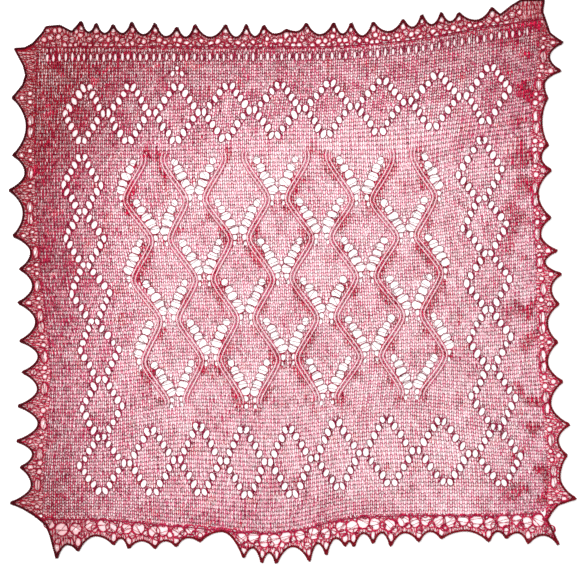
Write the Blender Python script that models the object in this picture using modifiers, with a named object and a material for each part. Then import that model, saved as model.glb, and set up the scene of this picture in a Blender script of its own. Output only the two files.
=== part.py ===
"""A square knitted lace shawl, blocked and laid flat: a field and four knitted-on edgings.

Lengths are in millimetres until the meshes are made. X runs to the right, Y to the top edge, Z up.
The field is charted in stitches and rows, and two blocking tables stretch the chart to its real shape.
"""

import bpy
import numpy as np
from mathutils.geometry import delaunay_2d_cdt

for leftover in list(bpy.data.objects):
    bpy.data.objects.remove(leftover, do_unlink=True)

MM = 0.001  # metres in a millimetre
WALL = 2.0  # thickness of the knitted cloth, loops and all
SEAM_GAP = 0.3  # between the field and an edging
RIDGE_RELIEF = 1.2  # how far a ridge stands above the cloth
RIDGE_FOOT = 2.5  # from a ridge's crest to its foot
GAP_SIDES = 6  # corners of a gap in the lace

# The chart: stitches are counted from the left edge, rows down from the top edge.
DIAMOND_STITCHES = 12
DIAMOND_ROWS = 16
DIAMONDS_ACROSS = 9
DIAMONDS_DOWN = 5  # in a side column, between the top and bottom chains
FIRST_DIAMOND_STITCH = 14
TOP_CHAIN_ROW = 12
SIDE_COLUMN_ROW = 33
BOTTOM_CHAIN_ROW = 113
LAST_ROW = 138
LAST_STITCH = 122
PAIR_HALF_STITCHES = 0.8  # a pair of eyelets stands this far each side of its axis

# Blocking: where each charted level (a row) crosses each charted station (a stitch), from the middle.
STATIONS = (0, 14, 33, 62, 76, 91, 110, LAST_STITCH)
LEVELS = (0, 12, 28, 33, 65, 97, 113, 129, LAST_ROW)
ACROSS = (
    # left edge, diamond 1, vee column 2, middle, vee column 6, vee column 8, diamond 9, right edge
    (-410, -327, -216, -20, 74, 183, 318, 398),  # top edge
    (-413, -330, -217, -20, 73, 180, 316, 393),  # top chain, apexes
    (-414, -338, -220, -28, 68, 173, 309, 383),  # top chain, feet
    (-414, -338, -221, -27, 69, 174, 303, 383),  # side columns begin
    (-405, -331, -204, -18, 78, 183, 312, 390),  # two diamonds down
    (-389, -306, -188, -7, 86, 193, 317, 395),  # four diamonds down
    (-394, -306, -181, -7, 82, 186, 326, 404),  # bottom chain, apexes
    (-401, -306, -178, 0, 88, 193, 334, 410),  # bottom chain, feet
    (-401, -306, -177, -1, 89, 193, 335, 406),  # bottom edge
)
HEIGHTS = (
    # left edge, diamond 1, vee column 2, middle, vee column 6, vee column 8, diamond 9, right edge
    (372, 373, 373, 373, 374, 383, 406, 417),  # top edge
    (309, 310, 311, 314, 317, 323, 342, 354),  # top chain, apexes
    (226, 226, 226, 234, 236, 243, 258, 270),  # top chain, feet
    (197, 198, 198, 203, 204, 205, 225, 234),  # side columns begin
    (26, 26, 26, 29, 31, 34, 46, 54),  # two diamonds down
    (-157, -156, -146, -144, -140, -135, -138, -132),  # four diamonds down
    (-250, -249, -234, -237, -226, -220, -234, -238),  # bottom chain, apexes
    (-335, -335, -336, -340, -326, -321, -322, -322),  # bottom chain, feet
    (-378, -379, -390, -397, -377, -372, -372, -367),  # bottom edge
)

# The lattice of lace vees: each row is staggered by half a spacing.
VEE_LEVELS = 6
VEE_COLUMNS = 9  # the first and last are half vees, at the ends of every other row
FIRST_VEE_STITCH = 23
VEE_SPACING = 9.75  # stitches from one column of vees to the next
FIRST_VEE_ROW = 43
VEE_ROW_SPACING = 12
VEE_GAPS = (
    # stitches out from the axis, rows up from the foot, width, height
    (1.5, 0.0, 10.5, 9.5),
    (2.2, 2.1, 9.5, 9.5),
    (3.0, 4.2, 8.5, 9.0),
)
VEE_GAP_LEAN = 0.35  # radians
RIDGE_FROM_AXIS = 2.3  # stitches, at the narrowest, from a vee's axis to the middle of a double ridge
RIDGE_LAG = 2.5  # rows from a vee's foot down to the narrowest place
RIDGE_PAIR = 5.6  # from one crest to the other
RIDGE_ROWS_ABOVE = 11
RIDGE_ROWS_BELOW = 3
RIDGE_STEPS = 3  # straight lengths of ridge from one row of vees to the next

# Sizes of the eyelets: width, height.
PAIR_EYELET = (7.5, 9.5)
SIDE_SLOT = (5.0, 17.0)
BAND_EYELET = (7.0, 8.0)
BAND_EYELET_DEPTH = 14.0  # from the seam to its middle, where the band is deep enough
BAND_EYELET_SHARE = 0.4  # of the band's depth, where it is not
BAND_EYELET_LARGEST = 0.3  # its height, as a share of the band's depth
SIDE_SLOT_SHARE = 0.45  # of the way from the field to the notch
SIDE_SLOT_EDGE = 1.5  # the least cloth between a side slot and the seam

# The edgings: a row for each point, with the notch that follows it.
TOP_POINTS = (
    # across, height of the tip, height of the notch to its right
    (-338, 415, 398), (-314, 412, 396), (-287, 410, 396), (-257, 414, 394), (-220, 412, 391),
    (-185, 406, 390), (-156, 410, 390), (-107, 410, 390), (-74, 410, 391), (-46, 409, 395),
    (-10, 402, 399), (22, 412, 394), (66, 413, 395), (94, 413, 392), (129, 414, 399),
    (177, 418, 406), (207, 426, 410), (238, 429, 415), (266, 429, 417), (319, 437, 427),
)
BOTTOM_POINTS = (
    # across, height of the tip, height of the notch to its right
    (-377, -442, -420), (-343, -430, -406), (-286, -420, -410), (-262, -426, -414),
    (-220, -426, -414), (-186, -423, -409), (-148, -415, -399), (-78, -441, -425),
    (-49, -449, -433), (-26, -450, -423), (27, -446, -418), (54, -436, -410), (84, -422, -415),
    (98, -423, -402), (129, -418, -401), (157, -422, -401), (202, -415, -399), (238, -410, -398),
    (314, -415, -399), (342, -410, -401), (377, -418, -405), (425, -420, -400),
)
LEFT_POINTS = (
    # height, across at the tip, across at the notch below it
    (294, -447, -425), (202, -446, -427), (146, -452, -430), (73, -446, -418), (20, -435, -415),
    (-34, -438, -410), (-95, -435, -406), (-145, -431, -407), (-199, -438, -406),
    (-255, -440, -415), (-297, -434, -417), (-354, -450, -416),
)
RIGHT_POINTS = (
    # height, across at the tip, across at the notch below it
    (382, 431, 410), (337, 428, 402), (293, 407, 398), (218, 408, 397), (178, 413, 392),
    (102, 412, 396), (49, 422, 403), (12, 429, 413), (-36, 425, 407), (-97, 423, 407),
    (-160, 431, 412), (-229, 442, 424), (-278, 438, 427), (-347, 452, 420),
)
POINT_SHARPNESS = 2.0  # above 1, the edge curves in towards each notch
POINT_STEPS = (0.14, 0.32, 0.5, 0.68, 0.86)  # shares of the way from one tip to the next

# The corners: where each seam leaves the field, and the outline beyond it.
TOP_LEFT_SEAM = (-439, 369)
TOP_RIGHT_SEAM = (405, 415)
BOTTOM_LEFT_SEAM = (-412, -374)
BOTTOM_RIGHT_SEAM = (414, -369)
TOP_LEFT_OUTLINE = ((-444, 372), (-428, 373), (-415, 380), (-399, 398), (-394, 407), (-372, 409), (-353, 399))
TOP_RIGHT_OUTLINE = ((332, 426), (351, 441), (366, 450), (386, 450.4), (402, 450), (399, 432))
BOTTOM_LEFT_OUTLINE = ((-394, -389), (-387, -406), (-382, -426))
BOTTOM_RIGHT_OUTLINE = ((413, -393), (406, -381))
LEFT_ABOVE = ((-430, 346), (-426, 330), (-431, 314))
LEFT_BELOW = ((-430, -363),)
RIGHT_ABOVE = ((411, 397),)
RIGHT_BELOW = ((424, -357),)
TOP_CORNERS = {
    "first seam": TOP_LEFT_SEAM,
    "first outline": TOP_LEFT_OUTLINE,
    "last outline": TOP_RIGHT_OUTLINE,
    "last seam": TOP_RIGHT_SEAM,
}
BOTTOM_CORNERS = {
    "first seam": BOTTOM_LEFT_SEAM,
    "first outline": BOTTOM_LEFT_OUTLINE,
    "last outline": BOTTOM_RIGHT_OUTLINE,
    "last seam": BOTTOM_RIGHT_SEAM,
}
LEFT_CORNERS = {
    "first seam": TOP_LEFT_SEAM,
    "above": LEFT_ABOVE,
    "below": LEFT_BELOW,
    "last seam": BOTTOM_LEFT_SEAM,
}
RIGHT_CORNERS = {
    "first seam": TOP_RIGHT_SEAM,
    "above": RIGHT_ABOVE,
    "below": RIGHT_BELOW,
    "last seam": BOTTOM_RIGHT_SEAM,
}
SEAM_STEPS = 40  # straight lengths along a seam

WOOL_ROUGHNESS = 0.9
EDGING_COLOUR = (0.42, 0.03, 0.09, 1.0)
FIELD_COLOUR = (0.55, 0.09, 0.16, 1.0)


def smooth(knots, values, at):
    """Cubic curve through values (one row for each knot), read at each place in at."""
    knots = np.asarray(knots, float)
    values = np.asarray(values, float)
    slopes = np.gradient(values, knots, axis=0)
    at = np.clip(at, knots[0], knots[-1])
    left = np.clip(np.searchsorted(knots, at, side="right") - 1, 0, len(knots) - 2)
    span = knots[left + 1] - knots[left]
    share = ((at - knots[left]) / span)[:, None]
    start = values[left] * (1 + 2 * share) * (1 - share) ** 2
    end = values[left + 1] * share**2 * (3 - 2 * share)
    leave = slopes[left] * span[:, None] * share * (1 - share) ** 2
    arrive = slopes[left + 1] * span[:, None] * share**2 * (share - 1)
    return start + end + leave + arrive


def blocked(stitches, rows):
    """Real places of charted ones, as an array of x and y."""
    stitches = np.asarray(stitches, float)
    rows = np.broadcast_to(np.asarray(rows, float), stitches.shape)
    across = smooth(LEVELS, ACROSS, rows)
    heights = smooth(LEVELS, HEIGHTS, rows)
    places = [
        smooth(STATIONS, np.stack([x, y], axis=1), np.array([stitch]))[0]
        for stitch, x, y in zip(stitches, across, heights)
    ]
    return np.array(places)


def gap(centre, width, height, lean=0.0):
    """Outline of one gap in the lace, leaning to the right by lean radians."""
    turn = np.arange(GAP_SIDES) * 2 * np.pi / GAP_SIDES + np.pi / 2
    x = np.cos(turn) * width / 2
    y = np.sin(turn) * height / 2
    leaned = np.stack([x * np.cos(lean) + y * np.sin(lean), y * np.cos(lean) - x * np.sin(lean)], axis=1)
    return centre + leaned


def eyelet_pair(stitch, row):
    """The two eyelets side by side where diamonds start, join or end."""
    sides = stitch + np.array([-1, 1]) * PAIR_HALF_STITCHES
    return [gap(place, *PAIR_EYELET) for place in blocked(sides, row)]


def diamond_gaps():
    """The pairs of eyelets where diamonds start and join."""
    gaps = []
    last = DIAMONDS_ACROSS - 1
    for chain_row in (TOP_CHAIN_ROW, BOTTOM_CHAIN_ROW):
        for number in range(DIAMONDS_ACROSS):
            middle = FIRST_DIAMOND_STITCH + number * DIAMOND_STITCHES
            gaps += eyelet_pair(middle, chain_row)
            if number < last:
                gaps += eyelet_pair(middle + DIAMOND_STITCHES / 2, chain_row + DIAMOND_ROWS / 2)
    for number in (0, last):
        for step in range(DIAMONDS_DOWN):
            middle = FIRST_DIAMOND_STITCH + number * DIAMOND_STITCHES
            gaps += eyelet_pair(middle, SIDE_COLUMN_ROW + step * DIAMOND_ROWS)
    return gaps


def vees():
    """Each lace vee as its stitch, its foot's row and the sides that it has."""
    found = []
    for level in range(VEE_LEVELS):
        for column in range(level % 2, VEE_COLUMNS, 2):
            sides = (-1, 1)
            if column == 0:
                sides = (1,)
            if column == VEE_COLUMNS - 1:
                sides = (-1,)
            stitch = FIRST_VEE_STITCH + column * VEE_SPACING
            found.append((stitch, FIRST_VEE_ROW + level * VEE_ROW_SPACING, sides))
    return found


def vee_gaps():
    """The largest gaps of each arm of each vee, next to its foot."""
    gaps = []
    for stitch, row, sides in vees():
        for side in sides:
            for out, up, width, height in VEE_GAPS:
                centre = blocked([stitch + side * out], row - up)[0]
                gaps.append(gap(centre, width, height, lean=side * VEE_GAP_LEAN))
    return gaps


def ridge_course(number):
    """The charted course of the double ridge between two columns of vees: stitches and rows."""
    first = FIRST_VEE_ROW - RIDGE_ROWS_ABOVE
    last = FIRST_VEE_ROW + (VEE_LEVELS - 1) * VEE_ROW_SPACING + RIDGE_ROWS_BELOW
    step = VEE_ROW_SPACING / RIDGE_STEPS
    rows = np.append(np.arange(first, last, step), last)
    middle = FIRST_VEE_STITCH + (number + 0.5) * VEE_SPACING
    swing = VEE_SPACING / 2 - RIDGE_FROM_AXIS
    side = -1 if number % 2 == 0 else 1
    narrowest = FIRST_VEE_ROW + RIDGE_LAG
    phase = np.cos((rows - narrowest) / VEE_ROW_SPACING * np.pi)
    return middle + side * swing * phase, rows


def beside(line, distance):
    """A line moved sideways, to its left where distance is above zero."""
    along = np.gradient(line, axis=0)
    along /= np.linalg.norm(along, axis=1)[:, None]
    return line + distance * np.stack([-along[:, 1], along[:, 0]], axis=1)


def double_ridges():
    """Crests of the travelling ridges, and the lines that bound and part them."""
    crests, feet = [], []
    for number in range(VEE_COLUMNS - 1):
        middle = blocked(*ridge_course(number))
        feet.append(middle)
        for side in (-1, 1):
            crests.append(beside(middle, side * RIDGE_PAIR / 2))
            feet.append(beside(middle, side * (RIDGE_PAIR / 2 + RIDGE_FOOT)))
    return crests, feet


def from_crests(places, crests):
    """Distance from each place to the nearest crest."""
    nearest = np.full(len(places), np.inf)
    for crest in crests:
        start, end = crest[:-1], crest[1:]
        along = end - start
        share = ((places[:, None] - start) * along).sum(axis=2) / (along**2).sum(axis=1)
        foot = start + np.clip(share, 0, 1)[:, :, None] * along
        nearest = np.minimum(nearest, np.linalg.norm(places[:, None] - foot, axis=2).min(axis=1))
    return nearest


def flat_sheet(name, outline, gaps, lines):
    """A flat mesh with the outline, its gaps left open and the lines kept as edges."""
    rings = [np.asarray(outline), *gaps]
    places, faces, edges = [], [], []
    for ring in rings:
        faces.append(list(range(len(places), len(places) + len(ring))))
        places.extend(ring)
    for line in lines:
        edges += [(len(places) + i, len(places) + i + 1) for i in range(len(line) - 1)]
        places.extend(line)
    inside_only = 1
    tolerance = 1e-4
    found = delaunay_2d_cdt(places, edges, faces, inside_only, tolerance)
    kept = [face for face, sources in zip(found[2], found[5]) if sources and max(sources) == 0]
    used = sorted({corner for face in kept for corner in face})
    number = {corner: i for i, corner in enumerate(used)}
    mesh = bpy.data.meshes.new(name)
    points = [(found[0][corner][0], found[0][corner][1], 0.0) for corner in used]
    mesh.from_pydata(points, [], [[number[corner] for corner in face] for face in kept])
    return mesh


def knitted(name, outline, gaps, crests, feet, colour, collection):
    """One knitted piece: the flat sheet, made as thick as the cloth, with its ridges raised on top."""
    obj = bpy.data.objects.new(name, flat_sheet(name, outline, gaps, crests + feet))
    collection.objects.link(obj)
    solidify = obj.modifiers.new("Thickness", "SOLIDIFY")
    solidify.thickness = WALL
    solidify.offset = 1.0
    graph = bpy.context.evaluated_depsgraph_get()
    solid = bpy.data.meshes.new_from_object(obj.evaluated_get(graph))
    obj.modifiers.clear()
    obj.data = solid
    raise_ridges(solid, crests)
    obj.data.materials.clear()
    obj.data.materials.append(cloth_material(f"{name}_yarn", colour))
    return obj


def raise_ridges(mesh, crests):
    """Lifts the upper points near each crest, and brings the mesh to metres."""
    points = np.array([vertex.co for vertex in mesh.vertices])
    upper = points[:, 2] > WALL / 2
    points[~upper, 2] = 0.0
    points[upper, 2] = WALL
    if crests:
        nearest = from_crests(points[upper, :2], crests)
        points[upper, 2] += RIDGE_RELIEF * np.clip(1 - nearest / RIDGE_FOOT, 0, 1)
    mesh.vertices.foreach_set("co", (points * MM).ravel())
    mesh.update()


def cloth_material(name, colour):
    """Plain knitted wool."""
    material = bpy.data.materials.new(name)
    material.use_nodes = True
    shader = material.node_tree.nodes["Principled BSDF"]
    shader.inputs["Base Color"].default_value = colour
    shader.inputs["Roughness"].default_value = WOOL_ROUGHNESS
    return material


def seam(stitches, rows):
    """The field's edge along one side."""
    return blocked(np.broadcast_to(stitches, (SEAM_STEPS + 1,)), np.broadcast_to(rows, (SEAM_STEPS + 1,)))


def counter_clockwise(outline):
    """The outline, turned round if it runs clockwise."""
    x, y = outline[:, 0], outline[:, 1]
    area = (x * np.roll(y, -1) - np.roll(x, -1) * y).sum()
    return outline if area > 0 else outline[::-1]


def edge_line(points, upright):
    """The scalloped outline of one side from its table: upright for the left and right sides."""
    line = []
    for (along, tip, notch), (next_along, next_tip, _) in zip(points[:-1], points[1:]):
        line.append((along, tip))
        for share in POINT_STEPS:
            nearer = tip if share < 0.5 else next_tip
            rise = abs(1 - 2 * share) ** POINT_SHARPNESS
            line.append((along + (next_along - along) * share, notch + (nearer - notch) * rise))
    line.append(points[-1][:2])
    line = np.array(line, float)
    return line[:, ::-1] if upright else line


def side_slots(points, edge, outer_side):
    """A long eyelet by each notch of a side edging, nearly halfway from the field to the notch."""
    gaps = []
    least = SIDE_SLOT[0] / 2 + SIDE_SLOT_EDGE
    for (height, _, notch), (next_height, _, _) in zip(points[:-1], points[1:]):
        middle = (height + next_height) / 2
        inner = np.interp(middle, edge[::-1, 1], edge[::-1, 0])
        out = max(abs(notch - inner) * SIDE_SLOT_SHARE, least)
        gaps.append(gap(np.array([inner + outer_side * out, middle]), *SIDE_SLOT))
    return gaps


def band_eyelets(points, edge, up):
    """An eyelet behind each point of the top or bottom edging."""
    gaps = []
    width, height = BAND_EYELET
    for across, tip, _ in points:
        inner = np.interp(across, edge[:, 0], edge[:, 1])
        depth = abs(tip - inner)
        out = min(depth * BAND_EYELET_SHARE, BAND_EYELET_DEPTH)
        scale = min(1, depth * BAND_EYELET_LARGEST / height)
        gaps.append(gap(np.array([across, inner + up * out]), width * scale, height * scale))
    return gaps


def band_outline(points, edge, up, corners):
    """Outline of the top (up = 1) or bottom (up = -1) edging."""
    shift = np.array([0, up * SEAM_GAP])
    outer = edge_line(points, upright=False)
    parts = (
        edge + shift,
        np.array([corners["last seam"]]) + shift,
        corners["last outline"][::-1],
        outer[::-1],
        corners["first outline"][::-1],
        np.array([corners["first seam"]]) + shift,
    )
    return np.concatenate([np.asarray(part, float) for part in parts])


def band_ridge(edge, up):
    """Crest and outer foot of the ridge along the seam of the top or bottom edging."""
    inner = edge[1:-1] + [0, up * SEAM_GAP]
    return inner + [0, up * RIDGE_FOOT], inner + [0, up * RIDGE_FOOT * 2]


def side_outline(points, edge, outer_side, corners):
    """Outline of the left (outer_side = -1) or right (outer_side = 1) edging."""
    inner = edge + [outer_side * SEAM_GAP, 0]
    inner[0, 1] -= SEAM_GAP
    inner[-1, 1] += SEAM_GAP
    outer = edge_line(points, upright=True)
    parts = (
        inner,
        np.array([corners["last seam"]]) + [0, 2 * SEAM_GAP],
        corners["below"],
        outer[::-1],
        corners["above"][::-1],
        np.array([corners["first seam"]]) - [0, 2 * SEAM_GAP],
    )
    return np.concatenate([np.asarray(part, float) for part in parts])


def build_shawl():
    """Makes the five knitted pieces."""
    collection = bpy.data.collections.new("lace_shawl")
    bpy.context.scene.collection.children.link(collection)
    stitches = np.linspace(0, LAST_STITCH, SEAM_STEPS + 1)
    rows = np.linspace(0, LAST_ROW, SEAM_STEPS + 1)
    top, bottom = seam(stitches, 0), seam(stitches, LAST_ROW)
    left, right = seam(0, rows), seam(LAST_STITCH, rows)

    outline = np.concatenate([top[::-1], left[1:-1], bottom, right[1:-1][::-1]])
    crests, feet = double_ridges()
    gaps = diamond_gaps() + vee_gaps()
    knitted("field", outline, gaps, crests, feet, FIELD_COLOUR, collection)

    bands = (
        ("edging_top", TOP_POINTS, top, 1, TOP_CORNERS),
        ("edging_bottom", BOTTOM_POINTS, bottom, -1, BOTTOM_CORNERS),
    )
    for name, points, edge, up, corners in bands:
        outline = counter_clockwise(band_outline(points, edge, up, corners))
        crest, foot = band_ridge(edge, up)
        eyelets = band_eyelets(points, edge, up)
        knitted(name, outline, eyelets, [crest], [foot], EDGING_COLOUR, collection)

    sides = (
        ("edging_left", LEFT_POINTS, left, -1, LEFT_CORNERS),
        ("edging_right", RIGHT_POINTS, right, 1, RIGHT_CORNERS),
    )
    for name, points, edge, outer_side, corners in sides:
        outline = counter_clockwise(side_outline(points, edge, outer_side, corners))
        slots = side_slots(points, edge, outer_side)
        knitted(name, outline, slots, [], [], EDGING_COLOUR, collection)


build_shawl()
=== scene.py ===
# %% [markdown]
# # A knitted lace shawl, laid flat
# The shawl is a square of fine wool lace with pointed edgings, spread out and seen from straight above.
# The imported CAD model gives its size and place. This script dresses it with real yarn: every stitch is
# a loop of a thin tube, and the lace holes are pushed open in the loops. A flat sheet with a picture of
# knitting would be much lighter, but it has no threads to bunch round a hole or to throw shadows.

import bpy
import numpy as np
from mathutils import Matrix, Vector
from mathutils.geometry import delaunay_2d_cdt


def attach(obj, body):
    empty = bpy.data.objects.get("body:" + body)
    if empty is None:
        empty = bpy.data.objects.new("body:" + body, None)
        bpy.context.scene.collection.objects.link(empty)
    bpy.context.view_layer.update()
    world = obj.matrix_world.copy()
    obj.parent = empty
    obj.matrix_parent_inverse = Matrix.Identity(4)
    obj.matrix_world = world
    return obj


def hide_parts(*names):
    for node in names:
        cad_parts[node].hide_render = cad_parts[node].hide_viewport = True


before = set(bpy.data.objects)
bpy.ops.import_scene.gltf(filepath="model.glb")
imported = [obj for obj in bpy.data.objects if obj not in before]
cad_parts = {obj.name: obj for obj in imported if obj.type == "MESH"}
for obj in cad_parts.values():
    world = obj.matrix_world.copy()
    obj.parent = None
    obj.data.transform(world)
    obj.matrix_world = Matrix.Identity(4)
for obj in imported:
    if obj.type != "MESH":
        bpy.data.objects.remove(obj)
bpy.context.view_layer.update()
MM = 0.001  # metres in a millimetre; lengths below are in millimetres until a mesh is made

# %% [markdown]
# ## Floor, light and camera
# The picture looks straight down on a bare white surface in even light. One wide plane is the floor.
# A white world lights it from all round, which is the softest light there is, and one big area lamp to
# the upper left adds just enough direction to show the yarn's roundness. The lamp is hidden from the
# camera, so views from the side stay plain.

# %% Floor and light
FLOOR_SIDE = 12.0  # metres
FLOOR_COLOUR = (0.93, 0.93, 0.93, 1.0)
FLOOR_ROUGHNESS = 0.9
WORLD_COLOUR = (1.0, 1.0, 1.0, 1.0)
WORLD_STRENGTH = 1.1
LAMP_SIDE = 1.6  # metres
LAMP_PLACE = (-1.3, 1.3, 2.2)
LAMP_POWER = 60.0


def new_material(name):
    """A material, its node tree and its shader."""
    material = bpy.data.materials.new(name)
    material.use_nodes = True
    return material, material.node_tree, material.node_tree.nodes["Principled BSDF"]


def lay_floor():
    """A wide plane that the cloth lies on."""
    material, _, shader = new_material("floor_white")
    shader.inputs["Base Color"].default_value = FLOOR_COLOUR
    shader.inputs["Roughness"].default_value = FLOOR_ROUGHNESS
    bpy.ops.mesh.primitive_plane_add(size=FLOOR_SIDE)
    floor = bpy.context.object
    floor.name = "floor"
    floor.data.materials.append(material)


def set_lights():
    """White light from all round and one large soft lamp."""
    world = bpy.data.worlds.new("studio")
    world.use_nodes = True
    background = world.node_tree.nodes["Background"]
    background.inputs["Color"].default_value = WORLD_COLOUR
    background.inputs["Strength"].default_value = WORLD_STRENGTH
    bpy.context.scene.world = world
    data = bpy.data.lights.new("soft_lamp", "AREA")
    data.size = LAMP_SIDE
    data.energy = LAMP_POWER
    lamp = bpy.data.objects.new("soft_lamp", data)
    lamp.location = LAMP_PLACE
    lamp.rotation_euler = (-Vector(LAMP_PLACE)).to_track_quat("-Z", "Y").to_euler()
    lamp.visible_camera = False
    bpy.context.scene.collection.objects.link(lamp)


lay_floor()
set_lights()
bpy.context.scene.view_settings.view_transform = "Standard"
print("floor and lights set")

# %% Camera
PICTURE_MIDDLE = (-4.0, -13.6)
PICTURE_SIDE = 928.0  # what the square picture spans on the floor
LENS = 85.0
SENSOR = 36.0


def set_camera():
    """A camera straight above, as high as its lens needs to span the picture."""
    data = bpy.data.cameras.new("camera")
    data.lens = LENS
    data.sensor_width = SENSOR
    camera = bpy.data.objects.new("camera", data)
    height = PICTURE_SIDE * LENS / SENSOR
    camera.location = (PICTURE_MIDDLE[0] * MM, PICTURE_MIDDLE[1] * MM, height * MM)
    bpy.context.scene.collection.objects.link(camera)
    bpy.context.scene.camera = camera
    return height


print("camera height in mm:", set_camera())

# %% [markdown]
# ## The blocked chart
# Lace is knitted from a chart of stitches and rows, and then blocked: wetted, stretched and pinned out
# to dry. The chart is a plain grid, while the real cloth is a little wavy, so two small tables say
# where a few of the grid's lines ended up. A cubic curve runs through each line of the tables, and any
# stitch of the chart then has a real place.

# %% Blocking tables
LAST_STITCH = 122
LAST_ROW = 138
STATIONS = (0, 14, 33, 62, 76, 91, 110, LAST_STITCH)
LEVELS = (0, 12, 28, 33, 65, 97, 113, 129, LAST_ROW)
ACROSS = (
    # left edge, diamond 1, vee column 2, middle, vee column 6, vee column 8, diamond 9, right edge
    (-410, -327, -216, -20, 74, 183, 318, 398),  # top edge
    (-413, -330, -217, -20, 73, 180, 316, 393),  # top chain, apexes
    (-414, -338, -220, -28, 68, 173, 309, 383),  # top chain, feet
    (-414, -338, -221, -27, 69, 174, 303, 383),  # side columns begin
    (-405, -331, -204, -18, 78, 183, 312, 390),  # two diamonds down
    (-389, -306, -188, -7, 86, 193, 317, 395),  # four diamonds down
    (-394, -306, -181, -7, 82, 186, 326, 404),  # bottom chain, apexes
    (-401, -306, -178, 0, 88, 193, 334, 410),  # bottom chain, feet
    (-401, -306, -177, -1, 89, 193, 335, 406),  # bottom edge
)
HEIGHTS = (
    # left edge, diamond 1, vee column 2, middle, vee column 6, vee column 8, diamond 9, right edge
    (372, 373, 373, 373, 374, 383, 406, 417),  # top edge
    (309, 310, 311, 314, 317, 323, 342, 354),  # top chain, apexes
    (226, 226, 226, 234, 236, 243, 258, 270),  # top chain, feet
    (197, 198, 198, 203, 204, 205, 225, 234),  # side columns begin
    (26, 26, 26, 29, 31, 34, 46, 54),  # two diamonds down
    (-157, -156, -146, -144, -140, -135, -138, -132),  # four diamonds down
    (-250, -249, -234, -237, -226, -220, -234, -238),  # bottom chain, apexes
    (-335, -335, -336, -340, -326, -321, -322, -322),  # bottom chain, feet
    (-378, -379, -390, -397, -377, -372, -372, -367),  # bottom edge
)


def cubic_read(knots, values, slopes, at):
    """Reads cubic curves at each place in at. Values and slopes have a row for each place."""
    knots = np.asarray(knots, float)
    at = np.clip(at, knots[0], knots[-1])
    left = np.clip(np.searchsorted(knots, at, side="right") - 1, 0, len(knots) - 2)
    span = knots[left + 1] - knots[left]
    share = (at - knots[left]) / span

    def pick(table, column):
        return np.take_along_axis(table, column[:, None], axis=1)[:, 0]

    start = pick(values, left) * (1 + 2 * share) * (1 - share) ** 2
    end = pick(values, left + 1) * share**2 * (3 - 2 * share)
    leave = pick(slopes, left) * span * share * (1 - share) ** 2
    arrive = pick(slopes, left + 1) * span * share**2 * (share - 1)
    return start + end + leave + arrive


def table_rows(table, rows):
    """The table's columns, each read at the charted rows."""
    columns = np.asarray(table, float).T
    slopes = np.gradient(columns, LEVELS, axis=1)
    read = [
        cubic_read(LEVELS, np.tile(column, (len(rows), 1)), np.tile(slope, (len(rows), 1)), rows)
        for column, slope in zip(columns, slopes)
    ]
    return np.stack(read, axis=1)


def blocked(stitches, rows):
    """Real places of charted stitches and rows, as an array with x and y last."""
    stitches, rows = np.broadcast_arrays(np.asarray(stitches, float), np.asarray(rows, float))
    places = []
    for table in (ACROSS, HEIGHTS):
        along = table_rows(table, rows.ravel())
        slopes = np.gradient(along, STATIONS, axis=1)
        places.append(cubic_read(STATIONS, along, slopes, stitches.ravel()))
    return np.stack(places, axis=1).reshape(*stitches.shape, 2)


corners = blocked([0, LAST_STITCH, 0, LAST_STITCH], [0, 0, LAST_ROW, LAST_ROW])
print("corners of the field in mm:", corners.round(1).tolist())

# %% [markdown]
# ## The lace holes
# A lace hole is a yarn-over: the yarn is laid over the needle to make a gap, and two stitches nearby
# are knitted together to keep the count. The chart says where each one is. A frame of diamonds runs
# round the shawl, and inside it stands a lattice of vees whose arms have five holes each, the larger
# ones near the foot. Loops lay them all out from the few numbers that the pattern repeats by.

# %% Holes of the diamond frame
EYELET = (8.6, 12.8)
EYELET_RIM = 0.8  # yarn radius where strands crowd round a hole; a smaller rim draws the yarn thinner
EYELET_LEAN = 0.45  # radians
DIAMOND_STITCHES = 12
DIAMOND_ROWS = 16
DIAMONDS_ACROSS = 9
DIAMONDS_DOWN = 5
FIRST_DIAMOND_STITCH = 14
TOP_CHAIN_ROW = 12
SIDE_COLUMN_ROW = 33
BOTTOM_CHAIN_ROW = 113
PAIR_HALF_STITCHES = 0.8
DIAMOND_STEPS = 8
STEP_ROWS = 2
DIAMOND_SPREAD = 1.1  # stitches outwards for each step
HOLE = np.dtype([(name, float) for name in ("stitch", "row", "width", "height", "lean", "rim")])


def diamond(stitch, row):
    """The eyelets of one diamond, from its top pair out to its sides and back in to its foot."""
    holes = []
    for step in range(DIAMOND_STEPS + 1):
        out = PAIR_HALF_STITCHES + DIAMOND_SPREAD * min(step, DIAMOND_STEPS - step)
        outwards = np.sign(DIAMOND_STEPS / 2 - step)
        for side in (-1, 1):
            lean = side * outwards * EYELET_LEAN
            holes.append((stitch + side * out, row + STEP_ROWS * step, *EYELET, lean, EYELET_RIM))
    return holes


def diamond_frame():
    """The eyelets of the top and bottom chains of diamonds and of the two side columns."""
    holes = []
    ends = (0, DIAMONDS_ACROSS - 1)
    for number in range(DIAMONDS_ACROSS):
        stitch = FIRST_DIAMOND_STITCH + number * DIAMOND_STITCHES
        holes += diamond(stitch, TOP_CHAIN_ROW) + diamond(stitch, BOTTOM_CHAIN_ROW)
        if number in ends:
            for step in range(DIAMONDS_DOWN):
                shared = 2 if step else 0  # its first two eyelets are the last two of the one above
                holes += diamond(stitch, SIDE_COLUMN_ROW + step * DIAMOND_ROWS)[shared:]
    return holes


frame_holes = diamond_frame()
print("eyelets in the diamond frame:", len(frame_holes))

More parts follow.
